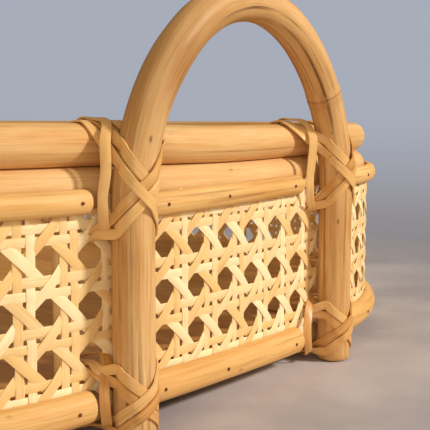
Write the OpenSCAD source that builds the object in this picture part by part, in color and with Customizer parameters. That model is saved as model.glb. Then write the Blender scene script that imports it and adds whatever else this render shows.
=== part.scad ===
// Rattan bread basket with a cane-webbing wall and two arched end handles.
// Origin: middle of the plan, on the surface that the handle feet stand on. +Z up.
// The handles are at -Y (front) and +Y (back). Every outline below is given at
// the outer face of the webbing, and "off" is a distance outward from that face.

/* [Plan of the wall] */
// Radius of the gently bowed ends
end_r = 600; // [450:10:900]
// Radius of the gently bowed long sides
side_r = 1500; // [1200:50:2500]
// Radius of the four corners
corner_r = 100; // [88:1:112]
// Corner centre, across, from the middle
corner_x = 55; // [55:1:80]
// Corner centre, along, from the middle
corner_y = 92; // [75:1:140]

/* [Poles] */
// Diameter of the round rattan poles
pole_d = 11; // [10:0.5:12]
// Top of the rim
rim_top = 79.5; // [76:0.5:84]
// Underside of the base hoop
base_gap = 1.2; // [1.2:0.1:2]
// Diameter of the inside posts
post_d = 5.5; // [4.5:0.5:6]

/* [Webbing and its clamping strips] */
// Thickness of the woven cane band
web_t = 1.2; // [1:0.1:1.5]
// Radius of the upper half-round strip
upper_strip_r = 3.2; // [2.8:0.1:3.4]
// Height of the middle of the upper strip
upper_strip_z = 60.2; // [59.8:0.1:60.6]
// Slope of the short upper strips, whose left ends are nailed lower
short_tilt = 1.4; // [0:0.1:1.5]
// How much lower the short upper strips are nailed than the long ones
short_drop = 1.3; // [0:0.1:1.4]
// Radius of the lower half-round strip
lower_strip_r = 4.25; // [3.8:0.05:4.4]
// Height of the middle of the lower strip
lower_strip_z = 8.65; // [8:0.05:9]

/* [Handles] */
// Half the distance between the two legs of a handle
leg_half = 48; // [42:1:48]
// Height of the pole's centre line at the top of the arch
arch_z = 113.4; // [110:0.1:120]
// Radius of the two shoulders of the arch
shoulder_r = 60; // [56:1:66]
// Angle that each shoulder turns through
shoulder_a = 50; // [44:1:56]

/* [Floor] */
// Thickness of the plywood floor
floor_t = 3.5; // [3:0.5:4]

/* [Lashings] */
// Thickness of the wrapping cane
wrap_t = 1; // [0.8:0.1:1]
// Width of the upright loop beside each leg
loop_w = 2.4; // [2:0.1:2.6]
// Width of each crossing band on a leg
band_w = 5; // [4:0.5:5.5]

/* [Hidden] */

// Gap left between pieces that touch
gap = 0.05;
// Each arc of a bent pole or strip stops this far short of the next one, and a
// straight core inside the two joins them
seam = 0.005;
core_length = 3;
core_share = 0.7;
// Facets of small rounds, of sections and of the long arcs of the plan
$fn = 32;
section_fn = 32;
plan_fn = 720;

pole_r = pole_d / 2;
// Distance out to the middle line of the poles that the webbing is wrapped round
hoop_off = -(web_t + gap + pole_r);
rim_z = rim_top - pole_r;
hoop_z = rim_z - pole_d - gap;
base_z = base_gap + pole_r;
floor_z = base_z + pole_r + gap;
floor_top = floor_z + floor_t;

// Centres of the arcs and half of the angle that the end and side arcs span
end_cy = sqrt(pow(end_r - corner_r, 2) - pow(corner_x, 2)) - corner_y;
side_cx = sqrt(pow(side_r - corner_r, 2) - pow(corner_y, 2)) - corner_x;
end_half = asin(corner_x / (end_r - corner_r));
side_half = asin(corner_y / (side_r - corner_r));

// Webbing: hidden behind the strips at its top and bottom
web_bottom = lower_strip_z - 3.4;
web_top = upper_strip_z + 0.7;

// Along each end: an upright loop stands to the left of each leg as seen from
// outside, and the strips stop clear of it. Distances are from the leg's axis.
left_loop_side = 5.8;
right_loop_side = 11.8;
long_strip_tip = 8.6;
short_strip_tip = 15;
strip_tip_free = 8.5;
end_post_s = leg_half + 14;
side_post_y = 80;
post_off = -(web_t + 2 * gap + post_d / 2);

leg_gap = 0.3;
leg_off = pole_r + leg_gap;

// The arch has two shoulders and a tighter crown, which meet smoothly
shoulder_x = leg_half - shoulder_r;
crown_r = shoulder_r + shoulder_x / cos(shoulder_a);
crown_z = arch_z - crown_r;
shoulder_z = crown_z + shoulder_x * tan(shoulder_a);

// Nails: head size, distance from a strip's tip, and how many along each arc
nail_d = 1.5;
nail_h = 0.45;
nail_inset = 6.8;
tip_inset = 4.4;
corner_nails = 4;
side_nails = 5;
middle_nail = 0.42;

pole_colour = [0.90, 0.74, 0.50];
strip_colour = [0.93, 0.76, 0.48];
handle_colour = [0.80, 0.62, 0.40];
web_colour = [0.97, 0.89, 0.70];
wrap_colour = [0.84, 0.64, 0.38];
ply_colour = [0.62, 0.42, 0.20];
nail_colour = [0.30, 0.26, 0.22];

// Angle, seen from an end arc's centre, of a place "s" along that end
function end_angle(s) = s / end_r * 180 / PI;

// Turns what is drawn for the front (s = 1) to the back (s = -1)
module at_end_side(s) {
  rotate([0, 0, s > 0 ? 0 : 180]) children();
}

// Local frame on the front wall: X outward from the webbing, Y along it, Z up
module on_front(s) {
  translate([0, end_cy, 0])
    rotate([0, 0, end_angle(s) - 90])
      translate([end_r, 0, 0]) children();
}

// The same frame on the right-hand wall, at a distance "y" along it
module on_right(y) {
  translate([-side_cx, 0, 0])
    rotate([0, 0, asin(y / side_r)])
      translate([side_r, 0, 0]) children();
}

// Sweeps a section, drawn as (off, height), along one arc of the plan
module arc_sweep(cx, cy, r, from, to) {
  trim = seam / r * 180 / PI;
  translate([cx, cy, 0])
    rotate([0, 0, from + trim])
      rotate_extrude(angle = to - from - 2 * trim, $fn = plan_fn)
        translate([r, 0]) children();
}

// Straight core across the joint at the angle "a" of an arc
module joint_core(cx, cy, r, a) {
  translate([cx, cy, 0])
    rotate([0, 0, a])
      rotate([90, 0, 0])
        linear_extrude(core_length, center = true)
          translate([r, 0]) children();
}

// The arcs below take two children: the section, and the core's smaller section.
// Each but the front arc has a core at the joint where it starts.
module front_sweep(from, to) {
  arc_sweep(0, end_cy, end_r, from - 90, to - 90) children(0);
}

module front_joint() {
  joint_core(0, end_cy, end_r, -end_half - 90) children(0);
}

module right_front_corner() {
  arc_sweep(corner_x, -corner_y, corner_r, end_half - 90, -side_half) children(0);
  joint_core(corner_x, -corner_y, corner_r, end_half - 90) children(1);
}

module right_side() {
  arc_sweep(-side_cx, 0, side_r, -side_half, side_half) children(0);
  joint_core(-side_cx, 0, side_r, -side_half) children(1);
}

module right_back_corner() {
  arc_sweep(corner_x, corner_y, corner_r, side_half, 90 - end_half) children(0);
  joint_core(corner_x, corner_y, corner_r, side_half) children(1);
}

// A closed hoop is two half loops, each an end and the wall on its right
module pole_section(z, share = 1) {
  translate([hoop_off, z]) circle(r = pole_r * share, $fn = section_fn);
}

module pole_loop(z) {
  for (s = [1, -1])
    at_end_side(s) {
      front_sweep(-end_half, end_half) pole_section(z);
      front_joint() pole_section(z, core_share);
      right_front_corner() { pole_section(z); pole_section(z, core_share); }
      right_side() { pole_section(z); pole_section(z, core_share); }
      right_back_corner() { pole_section(z); pole_section(z, core_share); }
    }
}

// Area inside the plan, "inset" within the outer face of the webbing
module plan_area(inset) {
  reach = corner_r * 2;
  difference() {
    intersection() {
      translate([0, end_cy]) circle(r = end_r - inset, $fn = plan_fn);
      translate([0, -end_cy]) circle(r = end_r - inset, $fn = plan_fn);
      translate([side_cx, 0]) circle(r = side_r - inset, $fn = plan_fn);
      translate([-side_cx, 0]) circle(r = side_r - inset, $fn = plan_fn);
    }
    for (mx = [0, 1], my = [0, 1])
      mirror([mx, 0]) mirror([0, my])
        translate([corner_x, corner_y]) difference() {
          polygon([
            [0, 0],
            reach * [cos(side_half), sin(side_half)],
            reach * [1, 1],
            reach * [sin(end_half), cos(end_half)]
          ]);
          circle(r = corner_r - inset, $fn = plan_fn);
        }
  }
}

// Section of a half-round strip, flat against the webbing
module half_round(r) {
  intersection() {
    circle(r = r, $fn = section_fn);
    translate([0, -r]) square([r, 2 * r]);
  }
}

// Rounded tip of a strip, drawn in the frame of on_front(). It points along the
// wall, forwards (side = 1) or back (side = -1), and starts just inside the strip.
module strip_tip(r, z, side) {
  sink = 0.02;
  translate([gap + sink, -side * sink, z])
    mirror([0, side > 0 ? 0 : 1, 0])
      rotate([0, 90, 0])
        rotate_extrude(angle = 180) intersection() {
          circle(r = r - 2 * sink, $fn = section_fn);
          square(r);
        }
}

module strip_section(r, z) {
  translate([gap, z]) half_round(r);
}

module strip_core(r, z) {
  translate([gap + r * (1 - core_share) / 2, z]) half_round(r * core_share);
}

// What is drawn at height 0 on the front is lifted to z and tilted, left end down
module short_strip_place(z, tilt) {
  translate([0, 0, z]) rotate([0, -tilt, 0]) children();
}

// Short strip between the two legs of the front handle
module short_strip(r, z, tilt = 0) {
  from = -leg_half + strip_tip_free + r;
  to = leg_half - short_strip_tip - r;
  short_strip_place(z, tilt) {
    front_sweep(end_angle(from), end_angle(to)) strip_section(r, 0);
    on_front(from) strip_tip(r, 0, -1);
    on_front(to) strip_tip(r, 0, 1);
  }
}

// Long strip on the right, from the front handle's right leg to the back handle
module long_strip(r, z) {
  from = leg_half + strip_tip_free + r;
  to = -(leg_half + long_strip_tip + r);
  front_sweep(end_angle(from), end_half) strip_section(r, z);
  right_front_corner() { strip_section(r, z); strip_core(r, z); }
  right_side() { strip_section(r, z); strip_core(r, z); }
  right_back_corner() { strip_section(r, z); strip_core(r, z); }
  rotate([0, 0, 180]) {
    front_sweep(-end_half, end_angle(to)) strip_section(r, z);
    front_joint() strip_core(r, z);
    on_front(to) strip_tip(r, z, 1);
  }
  on_front(from) strip_tip(r, z, -1);
}

module nail_head() {
  rotate([0, 90, 0]) cylinder(d = nail_d, h = nail_h, $fn = 8);
}

// Nails of one short and one long strip, on the crest of the half-round
module strip_nails(r, z, short_inset, long_inset, drop = 0, tilt = 0) {
  crest = gap * 1.5 + r;
  first = -leg_half + strip_tip_free + short_inset;
  last = leg_half - short_strip_tip - nail_inset;
  short_strip_place(z - drop, tilt)
    for (s = [first, first + (last - first) * middle_nail, last])
      on_front(s) translate([crest, 0, 0]) nail_head();
  on_front(leg_half + strip_tip_free + nail_inset)
    translate([crest, 0, z]) nail_head();
  rotate([0, 0, 180])
    on_front(-(leg_half + long_strip_tip + long_inset))
      translate([crest, 0, z]) nail_head();
  for (m = [0, 1], i = [1:corner_nails])
    mirror([0, m, 0])
      translate([corner_x, -corner_y, 0])
        rotate([0, 0, end_half - 90 + (90 - end_half - side_half) * (i - 0.5) / corner_nails])
          translate([corner_r + crest, 0, z]) nail_head();
  for (i = [1:side_nails])
    on_right(side_r * sin(side_half) * (2 * i - 1 - side_nails) / side_nails)
      translate([crest, 0, z]) nail_head();
}

// Flat ring of wrapping cane: a rounded rectangle with an equal one cut out of it
module rounded_area(x0, x1, z0, z1, r) {
  translate([x0 + r, z0]) square([x1 - x0 - 2 * r, z1 - z0]);
  translate([x0, z0 + r]) square([x1 - x0, z1 - z0 - 2 * r]);
  for (x = [x0 + r, x1 - r], z = [z0 + r, z1 - r])
    translate([x, z]) circle(r = r);
}

// Upright loop round a hoop and the webbing, drawn in the frame of on_front()
module upright_loop(z0, z1) {
  clear = 0.1;
  x0 = hoop_off - pole_r - clear;
  x1 = gap + clear;
  corner = 2.4;
  rotate([90, 0, 0])
    linear_extrude(loop_w, center = true) difference() {
      rounded_area(x0 - wrap_t, x1 + wrap_t, z0 - wrap_t, z1 + wrap_t, corner + wrap_t);
      rounded_area(x0, x1, z0, z1, corner);
    }
}

// Plan of the crossing bands: round the outside of the leg, back to the wall and
// along it to the upright loop
module band_plan(loop_off) {
  inner = pole_r + gap;
  outer = inner + wrap_t;
  back = leg_off - 2 * gap;
  difference() {
    union() {
      intersection() {
        circle(r = outer);
        translate([-gap, -outer]) square([outer + gap, 2 * outer]);
      }
      translate([-back, -outer]) square([back, 2 * outer]);
      translate([-back, -loop_off - loop_w / 4]) square([wrap_t, loop_off]);
    }
    circle(r = inner);
    translate([-leg_off, -inner]) square([leg_off, 2 * inner]);
  }
}

// Two crossing bands on a leg, at a height z and a slope
module crossing(z, slope, loop_off) {
  reach = 40;
  low = max(0.1, z - reach / 2);
  high = min(rim_top + wrap_t, z + reach / 2);
  intersection() {
    translate([0, 0, low]) linear_extrude(high - low) band_plan(loop_off);
    translate([0, 0, z])
      for (a = [slope, -slope])
        rotate([a, 0, 0]) cube([reach, reach, band_w], center = true);
  }
}

// Inner edges of the loops, and middles and slopes of the crossings
top_loop = [50.9, rim_top + 0.15];
foot_loop = [base_gap - 0.1, 20.9];
top_cross = [62.5, 52];
foot_cross = [11.4, 42];

// How far to the left of a leg its upright loop stands
function loop_side(s) = s < 0 ? left_loop_side : right_loop_side;

// The top crossings lean with the legs, which bend inward above their shoulders
cross_lean = 6;
module lashing(s, loop, cross, lean = 0) {
  lean_z = shoulder_z - 1;
  color(wrap_colour) {
    on_front(s - loop_side(s)) upright_loop(loop[0], loop[1]);
    on_front(s) translate([leg_off, 0, lean_z])
      rotate([s > 0 ? lean : -lean, 0, 0])
        translate([0, 0, -lean_z]) crossing(cross[0], cross[1], loop_side(s));
  }
}

// Small window where a loop goes through the webbing
module loop_window(s, z) {
  side = 0.25;
  on_front(s - loop_side(s))
    translate([0, 0, z])
      cube([8, loop_w + 2 * side, wrap_t + 2 * side], center = true);
}

// Slot in the floor's edge where a foot loop goes through
module loop_slot(s) {
  side = 0.25;
  depth = pole_d + wrap_t + web_t + 0.6;
  on_front(s - loop_side(s))
    translate([-depth / 2, 0, floor_z + floor_t / 2])
      cube([depth + side, loop_w + 2 * side, floor_t + 2], center = true);
}

module post_at(z0 = floor_top + gap, z1 = hoop_z - pole_r - gap) {
  color(web_colour)
    translate([post_off, 0, z0]) cylinder(d = post_d, h = z1 - z0);
}

module top_rim_pole() {
  color(pole_colour) pole_loop(rim_z);
}

module upper_hoop() {
  color(pole_colour) pole_loop(hoop_z);
}

module base_hoop() {
  color(pole_colour) pole_loop(base_z);
}

module floor_panel() {
  color(ply_colour) difference() {
    translate([0, 0, floor_z]) linear_extrude(floor_t) plan_area(web_t + 0.3);
    for (e = [1, -1], s = [-leg_half, leg_half])
      at_end_side(e) loop_slot(s);
  }
}

module cane_webbing() {
  color(web_colour) difference() {
    translate([0, 0, web_bottom])
      linear_extrude(web_top - web_bottom) difference() {
        plan_area(0);
        plan_area(web_t);
      }
    for (e = [1, -1], s = [-leg_half, leg_half])
      at_end_side(e) {
        loop_window(s, top_loop[0] - wrap_t / 2);
        loop_window(s, foot_loop[1] + wrap_t / 2);
      }
  }
}

module upper_strip_front() {
  color(strip_colour) short_strip(upper_strip_r, upper_strip_z - short_drop, short_tilt);
}

module upper_strip_back() {
  rotate([0, 0, 180]) upper_strip_front();
}

module upper_strip_right() {
  color(strip_colour) long_strip(upper_strip_r, upper_strip_z);
}

module upper_strip_left() {
  rotate([0, 0, 180]) upper_strip_right();
}

module lower_strip_front() {
  color(strip_colour) short_strip(lower_strip_r, lower_strip_z);
}

module lower_strip_back() {
  rotate([0, 0, 180]) lower_strip_front();
}

module lower_strip_right() {
  color(strip_colour) long_strip(lower_strip_r, lower_strip_z);
}

module lower_strip_left() {
  rotate([0, 0, 180]) lower_strip_right();
}

module handle_section(share = 1) {
  circle(r = pole_r * share, $fn = section_fn);
}

// The legs stand just clear of the webbing
module handle_front() {
  leg_a = asin(leg_half / (end_r + leg_off));
  handle_y = end_cy - (end_r + leg_off) * cos(leg_a);
  color(handle_colour) translate([0, handle_y, 0]) {
    for (x = [-leg_half, leg_half])
      translate([x, 0, 0]) cylinder(r = pole_r, h = shoulder_z);
    rotate([90, 0, 0]) {
      for (m = [0, 1])
        mirror([m, 0, 0]) {
          arc_sweep(shoulder_x, shoulder_z, shoulder_r, 0, shoulder_a) handle_section();
          joint_core(shoulder_x, shoulder_z, shoulder_r, 0) handle_section(core_share);
          joint_core(0, crown_z, crown_r, shoulder_a) handle_section(core_share);
        }
      arc_sweep(0, crown_z, crown_r, shoulder_a, 180 - shoulder_a) handle_section();
    }
  }
}

module handle_back() {
  rotate([0, 0, 180]) handle_front();
}

// Where a leg meets the wall, measured along the end
leg_s = end_r * asin(leg_half / (end_r + leg_off)) * PI / 180;

module upper_strip_nails() {
  color(nail_colour)
    for (e = [1, -1])
      at_end_side(e) strip_nails(
        upper_strip_r, upper_strip_z, nail_inset, tip_inset, short_drop, short_tilt
      );
}

module lower_strip_nails() {
  color(nail_colour)
    for (e = [1, -1])
      at_end_side(e) strip_nails(lower_strip_r, lower_strip_z, tip_inset, nail_inset);
}

// Nails through the floor into the base hoop
module floor_nails() {
  color(nail_colour)
    for (e = [1, -1])
      at_end_side(e) {
        for (s = [-1, 0, 1])
          on_front(s * leg_half / 2) translate([hoop_off, 0, floor_top + gap])
            cylinder(d = nail_d, h = nail_h, $fn = 8);
        for (y = [-side_post_y / 2, side_post_y / 2])
          on_right(y) translate([hoop_off, 0, floor_top + gap])
            cylinder(d = nail_d, h = nail_h, $fn = 8);
      }
}

top_rim_pole();
upper_hoop();
base_hoop();
floor_panel();
cane_webbing();
upper_strip_front();
upper_strip_back();
upper_strip_right();
upper_strip_left();
lower_strip_front();
lower_strip_back();
lower_strip_right();
lower_strip_left();
handle_front();
handle_back();
lashing(-leg_s, top_loop, top_cross, cross_lean);  // lashing_front_left_top
lashing(-leg_s, foot_loop, foot_cross);  // lashing_front_left_foot
lashing(leg_s, top_loop, top_cross, cross_lean);  // lashing_front_right_top
lashing(leg_s, foot_loop, foot_cross);  // lashing_front_right_foot
rotate([0, 0, 180]) lashing(-leg_s, top_loop, top_cross, cross_lean);  // lashing_back_left_top
rotate([0, 0, 180]) lashing(-leg_s, foot_loop, foot_cross);  // lashing_back_left_foot
rotate([0, 0, 180]) lashing(leg_s, top_loop, top_cross, cross_lean);  // lashing_back_right_top
rotate([0, 0, 180]) lashing(leg_s, foot_loop, foot_cross);  // lashing_back_right_foot
on_front(-end_post_s) post_at();  // post_front_left
on_front(end_post_s) post_at();  // post_front_right
rotate([0, 0, 180]) on_front(-end_post_s) post_at();  // post_back_left
rotate([0, 0, 180]) on_front(end_post_s) post_at();  // post_back_right
on_right(-side_post_y) post_at();  // post_right_front
on_right(0) post_at();  // post_right_middle
on_right(side_post_y) post_at();  // post_right_back
rotate([0, 0, 180]) on_right(side_post_y) post_at();  // post_left_front
rotate([0, 0, 180]) on_right(0) post_at();  // post_left_middle
rotate([0, 0, 180]) on_right(-side_post_y) post_at();  // post_left_back
upper_strip_nails();
lower_strip_nails();
floor_nails();
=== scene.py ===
import math

import bpy
import numpy as np
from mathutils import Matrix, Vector


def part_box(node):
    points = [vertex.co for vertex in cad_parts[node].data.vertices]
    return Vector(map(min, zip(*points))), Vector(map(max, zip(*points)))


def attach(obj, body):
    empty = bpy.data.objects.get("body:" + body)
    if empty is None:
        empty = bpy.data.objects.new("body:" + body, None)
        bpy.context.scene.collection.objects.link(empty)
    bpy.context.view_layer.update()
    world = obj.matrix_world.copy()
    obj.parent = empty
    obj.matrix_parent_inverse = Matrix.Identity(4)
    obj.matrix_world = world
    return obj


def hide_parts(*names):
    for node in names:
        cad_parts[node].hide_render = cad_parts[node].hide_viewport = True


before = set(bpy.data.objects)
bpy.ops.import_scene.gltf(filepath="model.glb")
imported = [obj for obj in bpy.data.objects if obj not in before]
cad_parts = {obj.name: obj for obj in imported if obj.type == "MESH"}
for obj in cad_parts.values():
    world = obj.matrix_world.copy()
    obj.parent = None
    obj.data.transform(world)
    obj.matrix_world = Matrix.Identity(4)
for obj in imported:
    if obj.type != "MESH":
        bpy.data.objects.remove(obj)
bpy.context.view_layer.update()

# Lengths below are in millimetres. Meshes are scaled to metres when they are made.
MM = 0.001
ROOT = "root"
rng = np.random.default_rng(7)

# ---------------------------------------------------------------- plan of the wall
# The outer face of the webbing: ends, sides and corners are arcs that meet smoothly.
END_R = 600
SIDE_R = 1500
CORNER_R = 100
CORNER_X = 55
CORNER_Y = 92
# How close two pieces that touch come to each other
GAP = 0.05
# Half the distance between a handle's legs, and their clearance from the webbing
LEG_HALF = 48
LEG_GAP = 0.3
# How far from a leg's axis the strips end: beside the upright loop, a long strip and a
# short one, and on the leg's free side
LONG_TIP = 8.6
SHORT_TIP = 15
TIP_FREE = 8.5
# The short upper strips are nailed lower than the long ones, and on a slope
SHORT_DROP = 1.3
SHORT_SLOPE = math.tan(math.radians(1.4))
# The shoulders of a handle's arch: radius, and the angle that each turns through
SHOULDER_R = 60
SHOULDER_A = math.radians(50)
# Posts: along the sides, and along the ends from the middle
SIDE_POST_Y = 80
END_POST_S = LEG_HALF + 14
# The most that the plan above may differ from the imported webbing's box
PLAN_TOLERANCE = 0.3

end_half = math.asin(CORNER_X / (END_R - CORNER_R))
side_half = math.asin(CORNER_Y / (SIDE_R - CORNER_R))
end_cy = math.sqrt((END_R - CORNER_R) ** 2 - CORNER_X**2) - CORNER_Y
side_cx = math.sqrt((SIDE_R - CORNER_R) ** 2 - CORNER_Y**2) - CORNER_X
quarter = math.pi / 2
# Each arc in the order of travel from the middle of the front: centre, radius, angles
ARCS = [
    (0, end_cy, END_R, -quarter, end_half - quarter),
    (CORNER_X, -CORNER_Y, CORNER_R, end_half - quarter, -side_half),
    (-side_cx, 0, SIDE_R, -side_half, side_half),
    (CORNER_X, CORNER_Y, CORNER_R, side_half, quarter - end_half),
    (0, -end_cy, END_R, quarter - end_half, quarter + end_half),
    (-CORNER_X, CORNER_Y, CORNER_R, quarter + end_half, 2 * quarter - side_half),
    (side_cx, 0, SIDE_R, 2 * quarter - side_half, 2 * quarter + side_half),
    (-CORNER_X, -CORNER_Y, CORNER_R, 2 * quarter + side_half, 3 * quarter - end_half),
    (0, end_cy, END_R, 3 * quarter - end_half, 3 * quarter),
]
arc_table = np.array(ARCS, float)
arc_ends = np.cumsum(arc_table[:, 2] * (arc_table[:, 4] - arc_table[:, 3]))
PERIMETER = arc_ends[-1]
HALF_TURN = PERIMETER / 2


def wall(s, off, z):
    """Points and outward directions at lengths s along the wall, off outward from the webbing."""
    s, off, z = np.broadcast_arrays(np.asarray(s, float), off, z)
    s = np.mod(s, PERIMETER)
    k = np.minimum(np.searchsorted(arc_ends, s, side="right"), len(ARCS) - 1)
    cx, cy, r, _, last_angle = arc_table[k].T
    angle = last_angle - (arc_ends[k] - s) / r
    out = np.stack([np.cos(angle), np.sin(angle), np.zeros_like(angle)], -1)
    centre = np.stack([cx, cy, z], -1)
    return centre + out * (r + off)[..., None], out


def node_heights(node):
    """Middle height and half height of a CAD node."""
    low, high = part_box(node)
    return (low.z + high.z) / 2 / MM, (high.z - low.z) / 2 / MM


def check_plan():
    """Stops the script if the plan above isn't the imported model's."""
    low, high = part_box("cane_webbing")
    points, _ = wall(np.linspace(0, PERIMETER, 2000), 0, 0)
    ours = np.concatenate([points.min(0)[:2], points.max(0)[:2]])
    packed = np.array([low.x, low.y, high.x, high.y]) / MM
    if np.abs(ours - packed).max() > PLAN_TOLERANCE:
        raise SystemExit(f"the plan {ours} isn't the packed model's {packed}")


check_plan()
rim_z, pole_r = node_heights("top_rim_pole")
hoop_z, _ = node_heights("upper_hoop")
base_z, _ = node_heights("base_hoop")
upper_z, upper_r = node_heights("upper_strip_right")
lower_z, lower_r = node_heights("lower_strip_front")
web_z, web_half = node_heights("cane_webbing")
WEB_T = 1.2
POST_R = 2.75
# Distances outward from the webbing's face to the middle of a hoop, a leg and a post
HOOP_OFF = -(WEB_T + GAP + pole_r)
LEG_OFF = pole_r + LEG_GAP
POST_OFF = -(WEB_T + 2 * GAP + POST_R)


# ---------------------------------------------------------------- mesh making
# The waves that add up to a ripple: each one's height and length as shares of the first
RIPPLE_SHARES = (1.0, 0.53, 0.31)
# How far from its ends a pole is drawn out where they are cut obliquely
SLANT_REACH = 22.0
# Edges sharper than this stay sharp when a mesh is shaded smooth
SHARP_EDGE = math.radians(50)


def unit(v):
    return v / np.maximum(np.linalg.norm(v, axis=-1, keepdims=True), 1e-9)


def ripple(x, size, wavelength):
    """A smooth irregular wave along x, seeded by the order of the calls."""
    total = np.zeros_like(x)
    for share in RIPPLE_SHARES:
        phase = rng.uniform(0, 2 * math.pi)
        total = total + np.sin(2 * math.pi * x / (wavelength * share) + phase) * share
    return size * total / sum(RIPPLE_SHARES)


def tube(path, outward, a, b, twist=None, mark=None, slant=0.0, tone=None):
    """A closed skin along a path. a and b place each ring's points, outward and sideways,
    and go round the section from outward to sideways. slant cuts the ends obliquely."""
    count = len(path)
    a = np.broadcast_to(a, (count, np.shape(a)[-1]))
    b = np.broadcast_to(b, (count, np.shape(b)[-1]))
    ahead = unit(np.gradient(path, axis=0))
    side = unit(np.cross(ahead, outward))
    out = np.cross(side, ahead)
    if twist is not None:
        c, t = np.cos(twist)[:, None], np.sin(twist)[:, None]
        out, side = out * c + side * t, side * c - out * t
    rings = path[:, None] + a[..., None] * out[:, None] + b[..., None] * side[:, None]
    along = np.concatenate([[0], np.cumsum(np.linalg.norm(np.diff(path, axis=0), axis=1))])
    if slant:
        to_end = np.minimum(along, along[-1] - along)
        near = (1 - to_end / SLANT_REACH).clip(0, 1)
        rings = rings + ahead[:, None] * (b * slant * near[:, None])[..., None]
    m = a.shape[1]
    grain = np.stack([np.repeat(along, m) + rng.uniform(0, 5000), a.ravel(), b.ravel()], -1)
    corner = np.arange(count * m).reshape(count, m)
    turned = np.roll(corner, -1, axis=1)
    quads = np.stack([corner[:-1], turned[:-1], turned[1:], corner[1:]], -1).reshape(-1, 4)
    return {
        "points": rings.reshape(-1, 3),
        "grain": grain,
        "tone": np.full(count * m, rng.uniform() if tone is None else tone),
        "mark": np.zeros(count * m) if mark is None else np.repeat(mark, m),
        "faces": [quads, corner[0][::-1][None], corner[-1][None]],
    }


def piece(name, parts, material, slot, *nodes):
    """One Blender object from closed skins, riding on the basket and standing for CAD nodes."""
    start = 0
    loops, sizes = [], []
    for part in parts:
        for faces in part["faces"]:
            loops.append((faces + start).ravel())
            sizes.append(np.full(len(faces), faces.shape[1]))
        start += len(part["points"])
    loops, sizes = np.concatenate(loops), np.concatenate(sizes)
    mesh = bpy.data.meshes.new(name)
    mesh.vertices.add(start)
    points = np.concatenate([part["points"] for part in parts]) * MM
    mesh.vertices.foreach_set("co", points.astype(np.float32).ravel())
    mesh.loops.add(len(loops))
    mesh.loops.foreach_set("vertex_index", loops.astype(np.int32))
    mesh.polygons.add(len(sizes))
    starts = np.concatenate([[0], np.cumsum(sizes)[:-1]])
    mesh.polygons.foreach_set("loop_start", starts.astype(np.int32))
    mesh.update(calc_edges=True)
    mesh.validate()
    mesh.shade_smooth()
    mesh.set_sharp_from_angle(angle=SHARP_EDGE)
    for key, kind, field in (
        ("grain", "FLOAT_VECTOR", "vector"),
        ("tone", "FLOAT", "value"),
        ("mark", "FLOAT", "value"),
    ):
        values = np.concatenate([part[key] for part in parts]).astype(np.float32)
        mesh.attributes.new(key, kind, "POINT").data.foreach_set(field, values.ravel())
    mesh.materials.append(material)
    made = bpy.data.objects.new(name, mesh)
    bpy.context.scene.collection.objects.link(made)
    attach(made, ROOT)
    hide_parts(*nodes)
    return made


# ---------------------------------------------------------------- materials
def linear(red, green, blue):
    """A screen colour of 0 to 255 a channel as Blender's linear colour."""
    share = [c / 255 for c in (red, green, blue)]
    return [c / 12.92 if c < 0.04045 else ((c + 0.055) / 1.055) ** 2.4 for c in share] + [1]


# Where a Mix node keeps its factor, its two colours and its result
MIX_FACTOR, MIX_FIRST, MIX_SECOND, MIX_RESULT = 0, 6, 7, 2


class Graph:
    """Short calls for building one material's nodes."""

    def __init__(self, name):
        self.material = bpy.data.materials.new(name)
        self.material.use_nodes = True
        self.tree = self.material.node_tree
        self.shader = self.tree.nodes["Principled BSDF"]

    def put(self, socket, value):
        if isinstance(value, bpy.types.NodeSocket):
            self.tree.links.new(value, socket)
        else:
            socket.default_value = value

    def add(self, kind, inputs=(), **settings):
        node = self.tree.nodes.new(kind)
        for key, value in settings.items():
            setattr(node, key, value)
        for key, value in dict(inputs).items():
            self.put(node.inputs[key], value)
        return node

    def attribute(self, name, field="Fac"):
        return self.add("ShaderNodeAttribute", attribute_name=name).outputs[field]

    def math(self, operation, a, b=0.0, clamp=False):
        node = self.add("ShaderNodeMath", {0: a, 1: b}, operation=operation, use_clamp=clamp)
        return node.outputs[0]

    def stretch(self, vector, x, y, z):
        node = self.add("ShaderNodeVectorMath", {0: vector, 1: (x, y, z)}, operation="MULTIPLY")
        return node.outputs[0]

    def noise(self, vector, detail=3.0, rough=0.55, scale=1.0, warp=0.0):
        inputs = {
            "Vector": vector,
            "Scale": scale,
            "Detail": detail,
            "Roughness": rough,
            "Distortion": warp,
        }
        return self.add("ShaderNodeTexNoise", inputs).outputs["Fac"]

    def ranged(self, value, low, high, to_low=0.0, to_high=1.0):
        inputs = {
            "Value": value,
            "From Min": low,
            "From Max": high,
            "To Min": to_low,
            "To Max": to_high,
        }
        return self.add("ShaderNodeMapRange", inputs, clamp=True).outputs[0]

    def mix(self, factor, first, second):
        node = self.add("ShaderNodeMix", data_type="RGBA")
        self.put(node.inputs[MIX_FACTOR], factor)
        self.put(node.inputs[MIX_FIRST], first)
        self.put(node.inputs[MIX_SECOND], second)
        return node.outputs[MIX_RESULT]

    def bump(self, height, strength, depth):
        inputs = {"Height": height, "Strength": strength, "Distance": depth * MM}
        return self.add("ShaderNodeBump", inputs).outputs["Normal"]

    def finish(self, colour, roughness, normal, **fixed):
        self.put(self.shader.inputs["Base Color"], colour)
        self.put(self.shader.inputs["Roughness"], roughness)
        self.put(self.shader.inputs["Normal"], normal)
        for key, value in fixed.items():
            self.shader.inputs[key.replace("_", " ")].default_value = value
        return self.material


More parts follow.
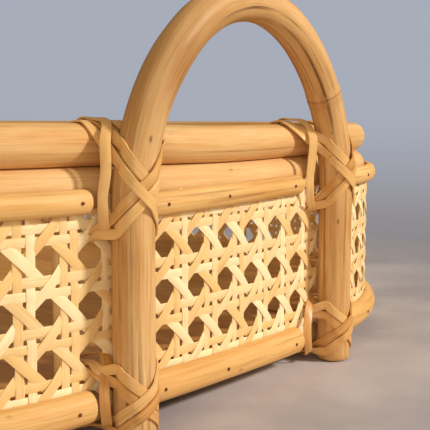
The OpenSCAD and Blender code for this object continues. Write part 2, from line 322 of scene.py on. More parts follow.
def cane_material(name, pale, deep, streak, look):
    """Rattan or cane. The grain runs along the piece: fine fibres, broader bands and soft clouds
    between the pale and the deep colour, then lines, specks, and node scars with painted shade, in
    the streak colour. look says how strong each one is."""
    g = Graph(name)
    grain = g.attribute("grain", "Vector")
    tone = g.attribute("tone")
    fibres = g.noise(g.stretch(grain, 0.05, 1, 1), scale=look["fibre"], detail=5, rough=0.65)
    bands = g.noise(g.stretch(grain, 0.018, 0.42, 0.42), detail=4, rough=0.6)
    cloud = g.noise(g.stretch(grain, 0.03, 0.09, 0.09), detail=3)
    parts = {"fibre_share": fibres, "band_share": bands, "cloud_share": cloud, "tone_share": tone}
    shade = 0.0
    for share, value in parts.items():
        shade = g.math("ADD", shade, g.math("MULTIPLY", value, look[share]))
    total = sum(look[share] for share in parts)
    colour = g.mix(g.ranged(shade, 0.36 * total, 0.64 * total), pale, deep)
    line_noise = g.noise(g.stretch(grain, 0.012, 0.75, 0.75), detail=5, rough=0.62, warp=0.15)
    patches = g.noise(g.stretch(grain, 0.035, 0.16, 0.16), detail=2)
    lines = g.ranged(line_noise, look["line_from"], look["line_from"] + 0.13)
    lines = g.math("MULTIPLY", lines, g.ranged(patches, 0.38, 0.6, 0.15, 1.0))
    colour = g.mix(g.math("MULTIPLY", lines, look["line"]), colour, streak)
    cells = g.add(
        "ShaderNodeTexVoronoi",
        {"Vector": g.stretch(grain, 0.055, 0.13, 0.13), "Scale": look["speck_scale"]},
    ).outputs["Distance"]
    specks = g.ranged(cells, 0.028, 0.075, 1.0, 0.0)
    colour = g.mix(g.math("MULTIPLY", specks, look["speck"]), colour, streak)
    # Node scars darken the skin towards the streak colour, and on the handles so does a patch of
    # painted shade.
    mark = g.attribute("mark")
    colour = g.mix(g.math("MULTIPLY", mark, look["mark"], clamp=True), colour, streak)
    rough = g.ranged(g.math("ADD", fibres, bands), 0.75, 1.3, look["gloss"], look["gloss"] + 0.2)
    height = g.math("ADD", g.math("MULTIPLY", fibres, 0.7), g.math("MULTIPLY", bands, 0.6))
    height = g.math("SUBTRACT", height, g.math("MULTIPLY", lines, 0.5))
    height = g.math("SUBTRACT", height, g.math("MULTIPLY", specks, 0.8))
    normal = g.bump(height, look["bump"], look["depth"])
    return g.finish(
        colour, rough, normal, Coat_Weight=look["coat"], Coat_Roughness=0.3, Specular_IOR_Level=0.3
    )


PLAIN_LOOK = {
    "fibre": 1.6,
    "fibre_share": 0.5,
    "band_share": 0.8,
    "cloud_share": 0.6,
    "tone_share": 0.25,
    "line": 0.35,
    "line_from": 0.56,
    "speck": 0.55,
    "speck_scale": 1.0,
    "mark": 0.7,
    "gloss": 0.54,
    "coat": 0.03,
    "bump": 0.45,
    "depth": 0.14,
}


def look_of(**changes):
    return {**PLAIN_LOOK, **changes}


def plywood_material():
    """Stained plywood: open grain along the basket, with darker pores."""
    g = Graph("plywood")
    place = g.add("ShaderNodeTexCoord").outputs["Object"]
    place = g.stretch(place, 1 / MM, 1 / MM, 1 / MM)
    wide = g.noise(g.stretch(place, 0.09, 0.006, 0.5), detail=5, warp=0.6)
    pores = g.noise(g.stretch(place, 1.9, 0.045, 1.5), detail=4, rough=0.7)
    plies = g.noise(g.stretch(place, 0.01, 0.01, 1.6), detail=1)
    colour = g.mix(g.ranged(wide, 0.35, 0.65), linear(216, 156, 78), linear(172, 110, 44))
    colour = g.mix(g.ranged(pores, 0.53, 0.68, 0, 0.65), colour, linear(104, 58, 24))
    colour = g.mix(g.ranged(plies, 0.4, 0.6, 0, 0.35), colour, linear(190, 138, 84))
    rough = g.ranged(pores, 0.3, 0.7, 0.42, 0.62)
    return g.finish(colour, rough, g.bump(pores, 0.35, 0.1), Coat_Weight=0.08)


def nail_material():
    """Dull steel with a brown tarnish."""
    g = Graph("nail_steel")
    place = g.add("ShaderNodeTexCoord").outputs["Object"]
    rust = g.noise(g.stretch(place, 1 / MM, 1 / MM, 1 / MM), scale=1.3, detail=4)
    colour = g.mix(g.ranged(rust, 0.4, 0.65), linear(128, 88, 52), linear(76, 44, 22))
    rough = g.ranged(rust, 0.35, 0.65, 0.35, 0.6)
    return g.finish(colour, rough, g.bump(rust, 0.4, 0.05), Metallic=0.5)


def floor_material(inner, outer):
    """A plain pale table top that fades out into the backdrop."""
    g = Graph("table_top")
    place = g.add("ShaderNodeTexCoord").outputs["Object"]
    mottle = g.noise(place, scale=16, detail=4)
    colour = g.mix(g.ranged(mottle, 0.35, 0.65), linear(204, 196, 200), linear(168, 161, 170))
    radius = g.add("ShaderNodeVectorMath", {0: place}, operation="LENGTH").outputs["Value"]
    g.put(g.shader.inputs["Alpha"], g.ranged(radius, inner, outer, 1.0, 0.0))
    return g.finish(colour, 0.6, g.bump(mottle, 0.05, 0.5))


pole_cane = cane_material(
    "rattan_pole",
    linear(236, 200, 148),
    linear(210, 155, 90),
    linear(140, 88, 42),
    look_of(line=0.55, line_from=0.55),
)
handle_cane = cane_material(
    "rattan_handle",
    linear(236, 196, 141),
    linear(191, 134, 72),
    linear(90, 52, 24),
    look_of(
        line=0.88, line_from=0.525, fibre_share=0.7, cloud_share=0.9, mark=0.34, speck=0.8,
        bump=0.6, gloss=0.52,
    ),
)
strip_cane = cane_material(
    "split_rattan",
    linear(236, 194, 130),
    linear(210, 151, 80),
    linear(144, 90, 42),
    look_of(line=0.55, line_from=0.55, fibre_share=0.7),
)
web_cane = cane_material(
    "webbing_cane",
    linear(254, 231, 188),
    linear(236, 194, 130),
    linear(190, 134, 70),
    look_of(
        fibre=2.2, band_share=0.4, tone_share=0.6, line=0.4, speck=0.15, gloss=0.38, coat=0.25,
        depth=0.06,
    ),
)
binding_cane = cane_material(
    "binding_cane",
    linear(240, 196, 132),
    linear(200, 140, 72),
    linear(124, 72, 30),
    look_of(fibre=2.0, line=0.5, speck=0.2, gloss=0.34, coat=0.2, depth=0.08, tone_share=0.5),
)
post_cane = cane_material(
    "rattan_post",
    linear(252, 222, 168),
    linear(226, 180, 116),
    linear(150, 100, 50),
    look_of(line=0.5),
)


# ---------------------------------------------------------------- poles and strips
# The upper hoop is pushed up against the rim pole by this much
HOOP_LIFT = 0.12
# Between the two ends of a hoop's pole
HOOP_SEAM = 0.12
# How far each side of the front's middle the sag of a hoop spreads
SAG_SPREAD = 40
# Length of the bevel round a leg's foot, and its depth
BEVEL = 0.7
BEVEL_DEPTH = 0.55


def round_section(radius, count=24):
    turn = np.linspace(0, 2 * math.pi, count, endpoint=False)
    return radius[:, None] * np.cos(turn), radius[:, None] * np.sin(turn)


def stations(length, step, nodes):
    """Lengths along a pole, closer together at its node rings."""
    places = [np.linspace(0, length, int(length / step) + 1)]
    places += [np.linspace(n - 4, n + 4, 33) for n in nodes if 5 < n < length - 5]
    return np.unique(np.round(np.concatenate(places), 3))


def node_rings(x, nodes):
    """How far the pole swells at its node rings, and how dark the scar is there."""
    swell, scar = np.zeros_like(x), np.zeros_like(x)
    for n in nodes:
        swell += 0.26 * np.exp(-(((x - n) / 1.9) ** 2)) - 0.2 * np.exp(-(((x - n) / 0.4) ** 2))
        scar += np.exp(-(((x - n) / 0.45) ** 2)) + 0.25 * np.exp(-(((x - n - 1.6) / 1.4) ** 2))
    return swell, scar


def hoop(name, node, z, seam_s, first_node, spacing, sag=0.0):
    """A pole bent into a closed hoop, with its two ends meeting in an oblique joint. It
    sags a little between the legs of the front handle."""
    length = PERIMETER - 2 * HOOP_SEAM
    nodes = np.arange(first_node, length, spacing)
    x = stations(length, 3.0, nodes)
    swell, scar = node_rings(x, nodes)
    calm = np.sin(math.pi * x / length).clip(0, 0.2) / 0.2
    radius = pole_r + swell + ripple(x, 0.05, 140) * calm
    s = seam_s + HOOP_SEAM + x
    from_front = np.mod(s + HALF_TURN, PERIMETER) - HALF_TURN
    height = z - sag * np.exp(-((from_front / SAG_SPREAD) ** 2))
    path, out = wall(s, HOOP_OFF + ripple(x, 0.12, 260) * calm, height)
    a, b = round_section(radius)
    return piece(
        name, [tube(path, out, a, b, mark=scar, slant=1.3)], pole_cane, "rattan_pole", node
    )


hoop("rim_pole", "top_rim_pole", rim_z, 0.74 * PERIMETER, 138, 325, 0.8)
hoop("upper_hoop_pole", "upper_hoop", hoop_z + HOOP_LIFT, 0.27 * PERIMETER, 110, 300, 0.8)
hoop("base_hoop_pole", "base_hoop", base_z, 0.5 * PERIMETER, 150, 290)


# A handle's centre line: a leg, a shoulder, a tighter crown, and the same the other way
inside = SHOULDER_R - LEG_HALF
crown_r = SHOULDER_R - inside / math.cos(SHOULDER_A)
crown_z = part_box("handle_front")[1].z / MM - pole_r - crown_r
shoulder_z = crown_z - inside * math.tan(SHOULDER_A)


def arch_line():
    """Length of that line, and its places across and up at lengths x."""
    to_crown = shoulder_z + SHOULDER_R * SHOULDER_A
    half = to_crown + crown_r * (quarter - SHOULDER_A)

    def place(x):
        u = np.minimum(x, 2 * half - x)
        shoulder = ((u - shoulder_z) / SHOULDER_R).clip(0, SHOULDER_A)
        crown = SHOULDER_A + ((u - to_crown) / crown_r).clip(0, None)
        across = np.where(
            u < to_crown, SHOULDER_R * np.cos(shoulder) - inside, crown_r * np.cos(crown)
        )
        up = np.where(
            u < to_crown,
            np.minimum(u, shoulder_z) + SHOULDER_R * np.sin(shoulder),
            crown_z + crown_r * np.sin(crown),
        )
        return np.where(x < half, -across, across), up

    return 2 * half, place


def handle(name, node, sign, nodes, painted_shade_at):
    """Leg, arch and leg. sign is -1 for the front handle, and the last argument is the middle of
    the length where shade is painted into the skin, darkening it."""
    low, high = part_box(node)
    y = (low.y + high.y) / 2 / MM
    length, place = arch_line()
    x = stations(length, 2.0, nodes)
    bevel = np.array([0.25, BEVEL])
    x = np.unique(np.concatenate([x, bevel, length - bevel]))
    across, up = place(x)
    path = np.stack([across, np.full_like(x, y), up], -1)
    loose = np.sin(math.pi * (x / length)).clip(0, 1)
    path[:, 1] += ripple(x, 0.35, 170) * loose
    path[:, 0] += ripple(x, 0.25, 210) * loose
    if sign > 0:
        path[:, 0] *= -1
    swell, scar = node_rings(x, nodes)
    # Painted shade: a dark patch on the arch, added to the node scars around the given place.
    scar = scar + 0.85 * np.exp(-(((x - painted_shade_at) / 24) ** 2))
    to_end = np.minimum(x, length - x)
    chamfer = BEVEL_DEPTH * (1 - to_end / BEVEL).clip(0, 1)
    a, b = round_section(pole_r + swell - chamfer + ripple(x, 0.1, 60) * loose, 28)
    outward = np.tile([0.0, sign, 0.0], (len(x), 1))
    return piece(
        name, [tube(path, outward, a, b, mark=scar)], handle_cane, "rattan_handle", node
    )


handle("front_handle_cane", "handle_front", -1, [188], 98)
handle("back_handle_cane", "handle_back", 1, [47, 196], 20)


def strip(name, node, z, r, start, end, shift, slope):
    """A half-round strip nailed over the webbing, with rounded tips. It runs from start
    to end along the wall, turned by shift to the back, and climbs by slope."""
    length = end - start
    x = np.linspace(0, length, max(int(length / 2.5), 30))
    blunt = 0.6 * r
    tip = blunt * (1 - np.cos(np.linspace(0, quarter, 8)))
    body = x[(x > blunt) & (x < length - blunt)]
    x = np.unique(np.round(np.concatenate([body, tip, length - tip]), 4))
    near = np.minimum(x, length - x).clip(0, blunt)
    full = (1 - (1 - near / blunt) ** 2.6).clip(0.02, 1) ** 0.4
    wave = 1 + ripple(x, 0.02, 90)
    turn = np.linspace(-quarter, quarter, 15)
    crest = np.concatenate([0.95 * np.cos(turn).clip(0, 1) ** 0.8, [0.0, 0.0, 0.0]])
    rise = np.concatenate([np.sin(turn), [0.6, 0.0, -0.6]])
    size = (r * full * wave)[:, None]
    path, out = wall(shift + start + x, GAP, z + slope * (start + x))
    return piece(
        name, [tube(path, out, size * crest, size * rise)], strip_cane, "split_rattan", node
    )


short_ends = -LEG_HALF + TIP_FREE, LEG_HALF - SHORT_TIP
long_ends = LEG_HALF + TIP_FREE, HALF_TURN - LEG_HALF - LONG_TIP
for level, z, r, drop, slope in (
    ("upper", upper_z, upper_r, SHORT_DROP, SHORT_SLOPE),
    ("lower", lower_z, lower_r, 0, 0),
):
    for short_side, long_side, shift in (("front", "right", 0), ("back", "left", HALF_TURN)):
        for side, ends, height, rise in (
            (short_side, short_ends, z - drop, slope),
            (long_side, long_ends, z, 0),
        ):
            strip(
                f"{level}_{side}_half_round", f"{level}_strip_{side}", height, r, *ends, shift, rise
            )


def post(name, node, s):
    """An upright inside the wall, with a lengthwise groove where the cane was split."""
    low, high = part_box(node)
    z = np.linspace(low.z / MM, high.z / MM, 24)
    path, out = wall(np.full_like(z, s), POST_OFF, z)
    count = 24
    turn = np.linspace(0, 2 * math.pi, count, endpoint=False)
    groove = 0.45 * np.exp(-((np.minimum(np.abs(turn - 0.35), 1.5) / 0.22) ** 2))
    radius = (POST_R - groove) * (1 + ripple(z, 0.02, 40))[:, None]
    path[:, :2] += ripple(z, 0.12, 70)[:, None] * out[:, 1::-1] * (1, -1)
    return piece(
        name,
        [tube(path, out, radius * np.cos(turn), radius * np.sin(turn))],
        post_cane,
        "rattan_post",
        node,
    )


side_middle = (arc_ends[1] + arc_ends[2]) / 2
post_turn = SIDE_R * math.asin(SIDE_POST_Y / SIDE_R)
for half, shift in ((("front", "right", "back"), 0), (("back", "left", "front"), HALF_TURN)):
    end, side, far = half
    post(f"{end}_left_upright", f"post_{end}_left", shift - END_POST_S)
    post(f"{end}_right_upright", f"post_{end}_right", shift + END_POST_S)
    for where, turn in ((end, -post_turn), ("middle", 0), (far, post_turn)):
        post(f"{side}_{where}_upright", f"post_{side}_{where}", side_middle + turn + shift)


# ---------------------------------------------------------------- cane webbing
# Columns of holes round the wall, and the length along it that one takes
PERIODS = 96
pitch = PERIMETER / PERIODS
# The middle of one hole, along the wall and up, and the height of a row of holes
HOLE_S = -18.24
HOLE_Z = 34.0
ROW = 12.7
# Half the distance between the two strands of a pair
PAIR = 1.65
# The strands: thickness, width of the uprights and levels, width of the diagonals
STRAND_T = 0.42
STRAND_W = 2.4
DIAGONAL_W = 2.75
# How far the uprights and levels swing in and out, and how far the diagonals do
WEAVE = 0.22
STACK = 0.44
web_low, web_high = web_z - web_half, web_z + web_half
WEB_MIDDLE = -WEB_T / 2


def ribbon_section(width, thickness):
    """A flat strand with a crowned face, for one or many widths."""
    a = np.array([0.5, 0.5, 0.1, -0.5, -0.5, 0.1]) * thickness
    b = np.array([-0.24, 0.24, 0.5, 0.46, -0.46, -0.5]) * np.reshape(width, (-1, 1))
    return a, b


def weave(distance):
    """Over and under at the two crossings beside the middle of a pair."""
    return np.where(np.abs(distance) < 2 * PAIR, np.sin(math.pi * distance / (2 * PAIR)), 0)


def strand(s, z, off, width):
    """One ribbon of the webbing, slightly uneven in width and twist."""
    run = np.arange(len(s)) * 1.3
    path, out = wall(s, WEB_MIDDLE + off, z)
    wide = width * rng.uniform(0.93, 1.06) * (1 + ripple(run, 0.04, 30))
    a, b = ribbon_section(wide, STRAND_T)
    return tube(path, out, a, b, twist=ripple(run, 0.09, 24))


def upright_strands():
    z = np.linspace(web_low, web_high, 46)
    made = []
    for k in range(PERIODS):
        for side in (-1, 1):
            middle = HOLE_S + (k + 0.5) * pitch + side * PAIR
            from_row = np.mod(z - HOLE_Z, ROW) - ROW / 2
            s = middle + rng.normal(0, 0.12) + ripple(z, 0.14, 45)
            made.append(strand(s, z, -side * WEAVE * weave(from_row), STRAND_W))
    return made


def level_strands():
    made = []
    x = np.linspace(0, PERIMETER, PERIODS * 10 + 1)
    rows = np.arange(math.ceil((web_low - HOLE_Z) / ROW - 0.5), (web_high - HOLE_Z) / ROW - 0.5)
    for row in rows:
        for side in (1, -1):
            z = HOLE_Z + (row + 0.5) * ROW + side * PAIR
            from_column = np.mod(x - HOLE_S, pitch) - pitch / 2
            z = z + rng.normal(0, 0.1) + ripple(x, 0.14, 70)
            made.append(strand(x, z, side * WEAVE * weave(from_column), STRAND_W))
    return made


def diagonal_strands(rise):
    """rise is 1 for strands that climb along the wall and -1 for those that fall."""
    made = []
    w = np.linspace((web_low - HOLE_Z) / ROW, (web_high - HOLE_Z) / ROW, 64)
    for k in range(PERIODS):
        s = HOLE_S + (k + 0.5 + rise * w) * pitch + rng.normal(0, 0.14) + ripple(w, 0.16, 3.5)
        off = -rise * STACK * np.cos(2 * math.pi * w)
        made.append(strand(s, HOLE_Z + w * ROW, off, DIAGONAL_W))
    return made


for name, strands in (
    ("webbing_uprights", upright_strands()),
    ("webbing_levels", level_strands()),
    ("webbing_falling_diagonals", diagonal_strands(-1)),
    ("webbing_rising_diagonals", diagonal_strands(1)),
):
    piece(name, strands, web_cane, "cane_webbing", "cane_webbing")


# ---------------------------------------------------------------- lashings
# The binding strips: thickness, width on the leg, width of the upright loop, and the
# distance between the middles of two side by side
BAND_T = 0.62
BAND_W = 2.75
LOOP_W = 2.7
BAND_PITCH = 2.9
# Step along a strip between the rings of its mesh
BAND_STEP = 0.7
# Height of a strip's middle over the surface that it lies on
LOW = BAND_T / 2 + GAP
# The least height of a strip's middle over the table
LOWEST = 1.8
# Angle of the strips across the leg, at the rim and at the foot
RIM_SLOPE = math.radians(48)
FOOT_SLOPE = math.radians(40)
# Degrees round the leg over which a strip climbs onto another. One that lies under the
# others is raised only past the end of its turn, so never.
CLIMB = 14
NEVER = (114, 115)
# Height between the places where two strips of a pair pass through the webbing
HOLE_STEP = 1.6


def spline(points, step):
    """A smooth line through control points, at even steps. Extra columns follow along."""
    p = np.array(points, float)
    p = np.concatenate([2 * p[:1] - p[1:2], p, 2 * p[-1:] - p[-2:-1]])
    pieces = []
    for i in range(1, len(p) - 2):
        t = np.linspace(0, 1, 12, endpoint=False)[:, None]
        a, b, c, d = p[i - 1 : i + 3]
        pieces.append(
            0.5 * (2 * b + (c - a) * t + (2 * a - 5 * b + 4 * c - d) * t**2
                   + (3 * b - a - 3 * c + d) * t**3)
        )
    line = np.concatenate(pieces + [p[-2:-1]])
    run = np.concatenate([[0], np.cumsum(np.linalg.norm(np.diff(line[:, :3], axis=0), axis=1))])
    even = np.linspace(0, run[-1], int(run[-1] / step) + 1)
    return np.stack([np.interp(even, run, column) for column in line.T], -1)


def band_section(width, thickness):
    a = np.array([0.5, 0.5, 0.32, -0.25, -0.5, -0.5, -0.25, 0.32]) * thickness
    b = np.array([-0.26, 0.26, 0.48, 0.5, 0.44, -0.44, -0.5, -0.48]) * width
    return a, b


def binding(points, s, shift, width):
    """A flat binding strip. points are (outward, along the wall, height, and a direction
    that its face looks in), all on the wall at length s, turned by shift to the back."""
    line = spline(points, BAND_STEP)
    origin, out = wall(np.array([s + shift]), 0, 0)
    out = out[0]
    along = np.array([-out[1], out[0], 0])
    up = np.array([0, 0, 1.0])
    axes = np.stack([out, along, up])
    a, b = band_section(width, BAND_T)
    run = np.arange(len(line)) * BAND_STEP
    return tube(
        origin[0] + line[:, :3] @ axes,
        line[:, 3:] @ axes,
        a,
        np.tile(b, (len(line), 1)) * (1 + ripple(run, 0.05, 20))[:, None],
        twist=ripple(run, 0.06, 18),
    )


def on_leg(turn, z, lift, lean):
    """A point on the leg with its outward direction, lift above the leg's surface. The
    leg leans forwards (lean 1) or back (lean -1) along the wall above its shoulder."""
    c, t = math.cos(turn), math.sin(turn)
    reach = pole_r + lift
    above = max(z - shoulder_z, 0)
    moved = lean * (SHOULDER_R - math.sqrt(SHOULDER_R**2 - above**2))
    return [LEG_OFF + reach * c, reach * t + moved, z, c, t, 0]


def step_up(value, low, high):
    share = min(max((value - low) / (high - low), 0), 1)
    return share * share * (3 - 2 * share)


def leg_turns(slope, sign, z_middle, leg, raise_from, raise_to):
    """Points of one strip round the leg, falling (sign -1) or rising (sign 1). It crosses
    the others at about one angle, and is raised between two angles from there."""
    points = []
    for degrees in range(-90, 79, 12):
        turn = math.radians(degrees)
        beyond = degrees - leg["cross_at"]
        z = max(z_middle + sign * math.radians(beyond) * pole_r * math.tan(slope), LOWEST)
        lift = step_up(beyond, raise_from - CLIMB, raise_from)
        lift *= 1 - step_up(beyond, raise_to, raise_to + CLIMB)
        points.append(on_leg(turn, z, LOW + lift * BAND_T, leg["lean"]))
    return points


def top_lashing(s, shift, leg):
    """Binding at the rim: two strips fall across the leg, two rise, and one stands upright.
    Each of the first four has its direction, its place in the pair, the angles between
    which it is raised, and its place along the rim."""
    middle = leg["rim_cross_z"]
    loop_s, loop_off, loop_top = leg["loop_s"], leg["loop_off"], leg["loop_top"]
    ridge, inner = rim_z + pole_r + LOW, HOOP_OFF - pole_r - LOW
    parts = []
    for sign, k, start, end, edge in (
        (-1, 0.5, *NEVER, -2.5 + leg["ridge_shift"]),
        (-1, -0.5, -36, 18, -6.5 + leg["ridge_shift"]),
        (1, 0.5, -2, 18, 7.0),
        (1, -0.5, 16, 37, 3.5),
    ):
        z = middle + k * BAND_PITCH / math.cos(RIM_SLOPE)
        turns = leg_turns(RIM_SLOPE, sign, z, leg, start, end)
        over = [
            [inner, edge * 0.8, rim_z - 8, -1, 0, 0],
            [inner + 0.3, edge * 0.9, rim_z, -1, 0, 0.1],
            [HOOP_OFF - 3.6, edge, ridge - 1.2, -0.6, 0, 0.8],
            [HOOP_OFF, edge, ridge, 0, 0, 1],
            [HOOP_OFF + 3.9, edge, ridge - 1.3, 0.55, 0, 0.8],
        ]
        hole = upper_z - upper_r - 6.5 + k * HOLE_STEP
        through = [
            [1.6, -sign * 7.6, hole + 2.2, 1, -sign * 0.6, -0.2],
            [-0.4, -sign * 8.4, hole + 0.6, 0.5, 0, -0.8],
            [-3.0, -sign * 8.6, hole + 0.4, 0, 0, -1],
            [inner + 1.5, -sign * 8.0, hole + 2.0, -0.8, 0, -0.5],
        ]
        if sign < 0:
            path = [*over, *turns, *through]
        else:
            path = [*through[::-1], *turns, *over[::-1]]
        parts.append(binding(path, s, shift, BAND_W))
    loop = [
        [inner, loop_top - 2.5, hoop_z - 6, -1, 0, 0],
        [inner, loop_top - 2.0, rim_z, -1, 0, 0.1],
        [HOOP_OFF - 3.7, loop_top - 1.0, ridge + 0.2, -0.6, 0, 0.8],
        [HOOP_OFF, loop_top, ridge + BAND_T, 0, 0, 1],
        [HOOP_OFF + 5.2, loop_top, ridge - 0.2, 0.7, -0.3, 0.7],
        [3.2, loop_top * 0.3 + loop_s * 0.7, rim_z + 0.8, 1, -0.9, 0.1],
        [loop_off + 0.4, loop_top * 0.1 + loop_s * 0.9, rim_z - 6.0, 1, -1.0, 0],
        [loop_off, loop_s, upper_z + 2.0, 1, -1.0, 0],
        [loop_off, loop_s, upper_z - 2.5, 1, -1.0, -0.05],
        [loop_off * 0.75, loop_s * 0.85, upper_z - 6.5, 1, -0.8, -0.3],
        [0.6, loop_s * 0.5, upper_z - 9.4, 0.6, 0, -0.8],
        [-2.2, -4.6, upper_z - 9.8, 0, 0, -1],
        [inner + 2, -4.0, upper_z - 8.4, -0.6, 0, -0.7],
        [inner - 0.3, -3.8, upper_z - 4.0, -1, 0, -0.1],
    ]
    parts.append(binding(loop, s, shift, LOOP_W))
    return parts


def foot_lashing(s, shift, leg):
    """Binding at the base hoop, with the same strips the other way up."""
    middle = leg["foot_cross_z"]
    loop_s, loop_off = leg["loop_s"], leg["loop_off"]
    under, inner = base_z - pole_r - LOW, HOOP_OFF - pole_r - LOW
    parts = []
    for sign, k, start, end, edge in (
        (-1, 0.5, *NEVER, 6.5),
        (-1, -0.5, *NEVER, 3.0),
        (1, 0.5, -38, 20, -3.0),
        (1, -0.5, -18, 40, -6.5),
    ):
        z = middle + k * BAND_PITCH / math.cos(FOOT_SLOPE)
        turns = leg_turns(FOOT_SLOPE, sign, z, leg, start, end)
        low = [
            [HOOP_OFF + 4.1, edge, under + 1.5, 0.6, 0, -0.8],
            [HOOP_OFF, edge, under, 0, 0, -1],
            [HOOP_OFF - 3.8, edge * 0.95, under + 1.3, -0.6, 0, -0.8],
            [inner + 0.2, edge * 0.9, base_z, -1, 0, -0.1],
            [inner, edge * 0.85, base_z + 3.5, -1, 0, 0],
        ]
        hole = lower_z + lower_r + 5.5 + k * HOLE_STEP
        high = [
            [1.6, sign * 7.6, hole - 1.6, 1, sign * 0.6, 0.2],
            [-0.4, sign * 8.4, hole, 0.5, 0, 0.8],
            [-3.0, sign * 8.6, hole + 0.2, 0, 0, 1],
            [inner + 2.5, sign * 8.2, hole - 1.5, -0.8, 0, 0.5],
        ]
        if sign < 0:
            path = [*high[::-1], *turns, *low]
        else:
            path = [*low[::-1], *turns, *high]
        parts.append(binding(path, s, shift, BAND_W))
    top = lower_z + lower_r + 8.0
    loop = [
        [inner + 2.0, -4.4, top - 2.5, -0.8, 0, 0.5],
        [-3.0, -4.2, top, 0, 0, 1],
        [-0.4, -4.6, top - 0.2, 0.5, 0, 0.8],
        [loop_off * 0.45, loop_s * 0.72, top - 2.6, 1, -0.6, 0.4],
        [loop_off * 0.9, loop_s * 0.98, lower_z + 4.5, 1, -1.0, 0.1],
        [loop_off, loop_s, lower_z, 1, -1.0, 0],
        [loop_off * 0.8, loop_s * 0.86, lower_z - 4.5, 1, -1.0, -0.1],
        [1.0, loop_s * 0.7, under + 2.2, 0.9, 0, -0.5],
        [HOOP_OFF + 4.0, -4.4, under + 0.6, 0.5, 0, -0.9],
        [HOOP_OFF, -3.6, under + 0.1, 0, 0, -1],
        [HOOP_OFF - 3.8, -3.6, under + 1.0, -0.6, 0, -0.8],
        [inner, -3.6, base_z, -1, 0, -0.1],
        [inner, -3.6, base_z + 3.5, -1, 0, 0],
    ]
    parts.append(binding(loop, s, shift, LOOP_W))
    return parts


# How each leg's binding lies: the angle on the leg and the heights where the strips
# cross, how far the falling ones are shifted on the rim, and where the upright loop runs
LEGS = {
    "left": {
        "cross_at": -8, "rim_cross_z": 63.2, "foot_cross_z": 9.9, "ridge_shift": 0,
        "loop_s": -8.5, "loop_off": 4.4, "loop_top": -2.5, "lean": 1,
    },
    "right": {
        "cross_at": -14, "rim_cross_z": 63.4, "foot_cross_z": 11.2, "ridge_shift": -10,
        "loop_s": -13.0, "loop_off": 3.1, "loop_top": -9.0, "lean": -1,
    },
}
leg_s = END_R * math.asin(LEG_HALF / (END_R + LEG_OFF))
for end, shift in (("front", 0), ("back", HALF_TURN)):
    for side, s in (("left", -leg_s), ("right", leg_s)):
        name = f"{end}_{side}"
        for place, lashing, node in (
            ("rim", top_lashing, f"lashing_{name}_top"),
            ("foot", foot_lashing, f"lashing_{name}_foot"),
        ):
            bands = lashing(s, shift, LEGS[side])
            piece(f"{name}_{place}_binding", bands, binding_cane, "binding_cane", node)


# ---------------------------------------------------------------- nails and floor
# Two points of the CAD nails closer than this are on one head
HEAD_REACH = 2.5


def nail_spots(node):
    """The middle of each nail head in a CAD node that holds them all."""
    spots = []
    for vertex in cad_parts[node].data.vertices:
        point = np.array(vertex.co) / MM
        for spot in spots:
            if np.linalg.norm(spot[0] - point) < HEAD_REACH:
                spot.append(point)
                break
        else:
            spots.append([point])
    return [(np.min(spot, 0) + np.max(spot, 0)) / 2 for spot in spots]


def wall_direction(point):
    """Outward direction of the wall nearest to a point."""
    s = np.linspace(0, PERIMETER, 2400, endpoint=False)
    places, out = wall(s, 0, point[2])
    return out[np.argmin(np.linalg.norm(places - point, axis=1))]


def nail_head(point, direction):
    """A low domed head, sunk a little into the cane."""
    side = np.cross(direction, [0.3, 0.2, 1.0] if abs(direction[2]) < 0.9 else [1.0, 0, 0])
    height = np.array([-0.9, -0.32, -0.22, -0.14, -0.1])
    radius = np.array([0.3, 0.5, 0.48, 0.3, 0.08])
    path = point + direction * height[:, None]
    outward = np.tile(unit(side), (len(height), 1))
    return tube(path, outward, *round_section(radius, 14))


nail_steel = nail_material()
for level in ("upper", "lower"):
    node = f"{level}_strip_nails"
    heads = [nail_head(p, wall_direction(p)) for p in nail_spots(node)]
    piece(f"{level}_nail_heads", heads, nail_steel, "nail_steel", node)
heads = [nail_head(p, np.array([0, 0, 1.0])) for p in nail_spots("floor_nails")]
piece("floor_nail_heads", heads, nail_steel, "nail_steel", "floor_nails")

floor_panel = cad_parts["floor_panel"]
floor_panel.data.materials.clear()
floor_panel.data.materials.append(plywood_material())


# ---------------------------------------------------------------- studio
# The studio is in metres. The table top is a disc just under the feet: its radius, where
# it starts and ends fading out, and its middle, set off to the side that is seen
TABLE_R = 0.45
TABLE_FADE = (0.27, 0.42)
TABLE_MIDDLE = (-0.06, 0.05, -0.0004)
# The place that the lamps look at
LAMPS_AIM = Vector((0, -0.1, 0.05))
# Camera: place, turn to the right, tilt and roll in degrees, and lens in millimetres
CAMERA_PLACE = (-0.2034, -0.3518, 0.0802)
CAMERA_YAW, CAMERA_PITCH, CAMERA_ROLL = 50.81, -6.19, -0.16
CAMERA_LENS = 73.3
CAMERA_SENSOR = 36


def table_top():
    """A disc that fades out into the backdrop before its edge."""
    turn = np.linspace(0, 2 * math.pi, 96, endpoint=False)
    mesh = bpy.data.meshes.new("table_top")
    rim = [(TABLE_R * math.cos(t), TABLE_R * math.sin(t), 0) for t in turn]
    mesh.from_pydata(rim, [], [list(range(len(rim)))])
    mesh.materials.append(floor_material(*TABLE_FADE))
    made = bpy.data.objects.new("table_top", mesh)
    bpy.context.scene.collection.objects.link(made)
    made.location = TABLE_MIDDLE


def area_light(name, azimuth, elevation, distance, size, power, colour):
    """A soft lamp that looks at the basket. Azimuth 0 is in front and 90 on the right."""
    a, e = math.radians(azimuth), math.radians(elevation)
    back = Vector((math.sin(a) * math.cos(e), -math.cos(a) * math.cos(e), math.sin(e)))
    lamp = bpy.data.lights.new(name, "AREA")
    lamp.shape = "DISK"
    lamp.size = size
    lamp.energy = power
    lamp.color = colour
    made = bpy.data.objects.new(name, lamp)
    bpy.context.scene.collection.objects.link(made)
    made.location = LAMPS_AIM + back * distance
    made.rotation_mode = "QUATERNION"
    made.rotation_quaternion = (-back).to_track_quat("-Z", "Y")


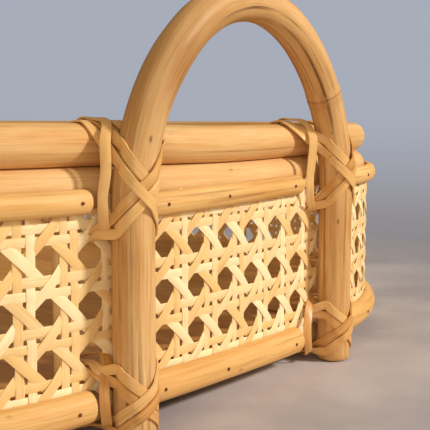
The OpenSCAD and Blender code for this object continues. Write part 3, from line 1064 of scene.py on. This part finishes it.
def studio():
    """Even warm light all round, a backdrop that only the camera sees, and two lamps."""
    world = bpy.data.worlds.new("studio")
    world.use_nodes = True
    tree = world.node_tree
    seen = tree.nodes.new("ShaderNodeMix")
    seen.data_type = "RGBA"
    light_path = tree.nodes.new("ShaderNodeLightPath")
    tree.links.new(light_path.outputs["Is Camera Ray"], seen.inputs[MIX_FACTOR])
    seen.inputs[MIX_FIRST].default_value = linear(162, 148, 120)
    direction = tree.nodes.new("ShaderNodeSeparateXYZ")
    tree.links.new(tree.nodes.new("ShaderNodeTexCoord").outputs["Generated"], direction.inputs[0])
    backdrop = tree.nodes.new("ShaderNodeMapRange")
    backdrop.interpolation_type = "SMOOTHSTEP"
    backdrop.inputs["From Min"].default_value = -0.16
    backdrop.inputs["From Max"].default_value = 0.02
    tree.links.new(direction.outputs["Z"], backdrop.inputs["Value"])
    shades = tree.nodes.new("ShaderNodeMix")
    shades.data_type = "RGBA"
    tree.links.new(backdrop.outputs[0], shades.inputs[MIX_FACTOR])
    shades.inputs[MIX_FIRST].default_value = linear(140, 134, 136)
    shades.inputs[MIX_SECOND].default_value = linear(168, 173, 186)
    tree.links.new(shades.outputs[MIX_RESULT], seen.inputs[MIX_SECOND])
    tree.links.new(seen.outputs[MIX_RESULT], tree.nodes["Background"].inputs["Color"])
    bpy.context.scene.world = world
    bpy.context.scene.view_settings.view_transform = "Standard"
    area_light("key", 25, 30, 1.3, 0.2, 14.2, (1.0, 0.97, 0.88))
    area_light("fill", -48, 5, 1.5, 0.9, 6.2, (1.0, 0.86, 0.66))
    table_top()


def camera():
    """Close to the left end of the front wall, at rim height, looking along it and down."""
    data = bpy.data.cameras.new("camera")
    data.lens = CAMERA_LENS
    data.sensor_width = CAMERA_SENSOR
    data.clip_start = 0.01
    made = bpy.data.objects.new("camera", data)
    bpy.context.scene.collection.objects.link(made)
    made.location = CAMERA_PLACE
    yaw, tilt, roll = (math.radians(d) for d in (CAMERA_YAW, CAMERA_PITCH, CAMERA_ROLL))
    made.rotation_euler = (quarter + tilt, roll, -yaw)
    bpy.context.scene.camera = made


studio()
camera()
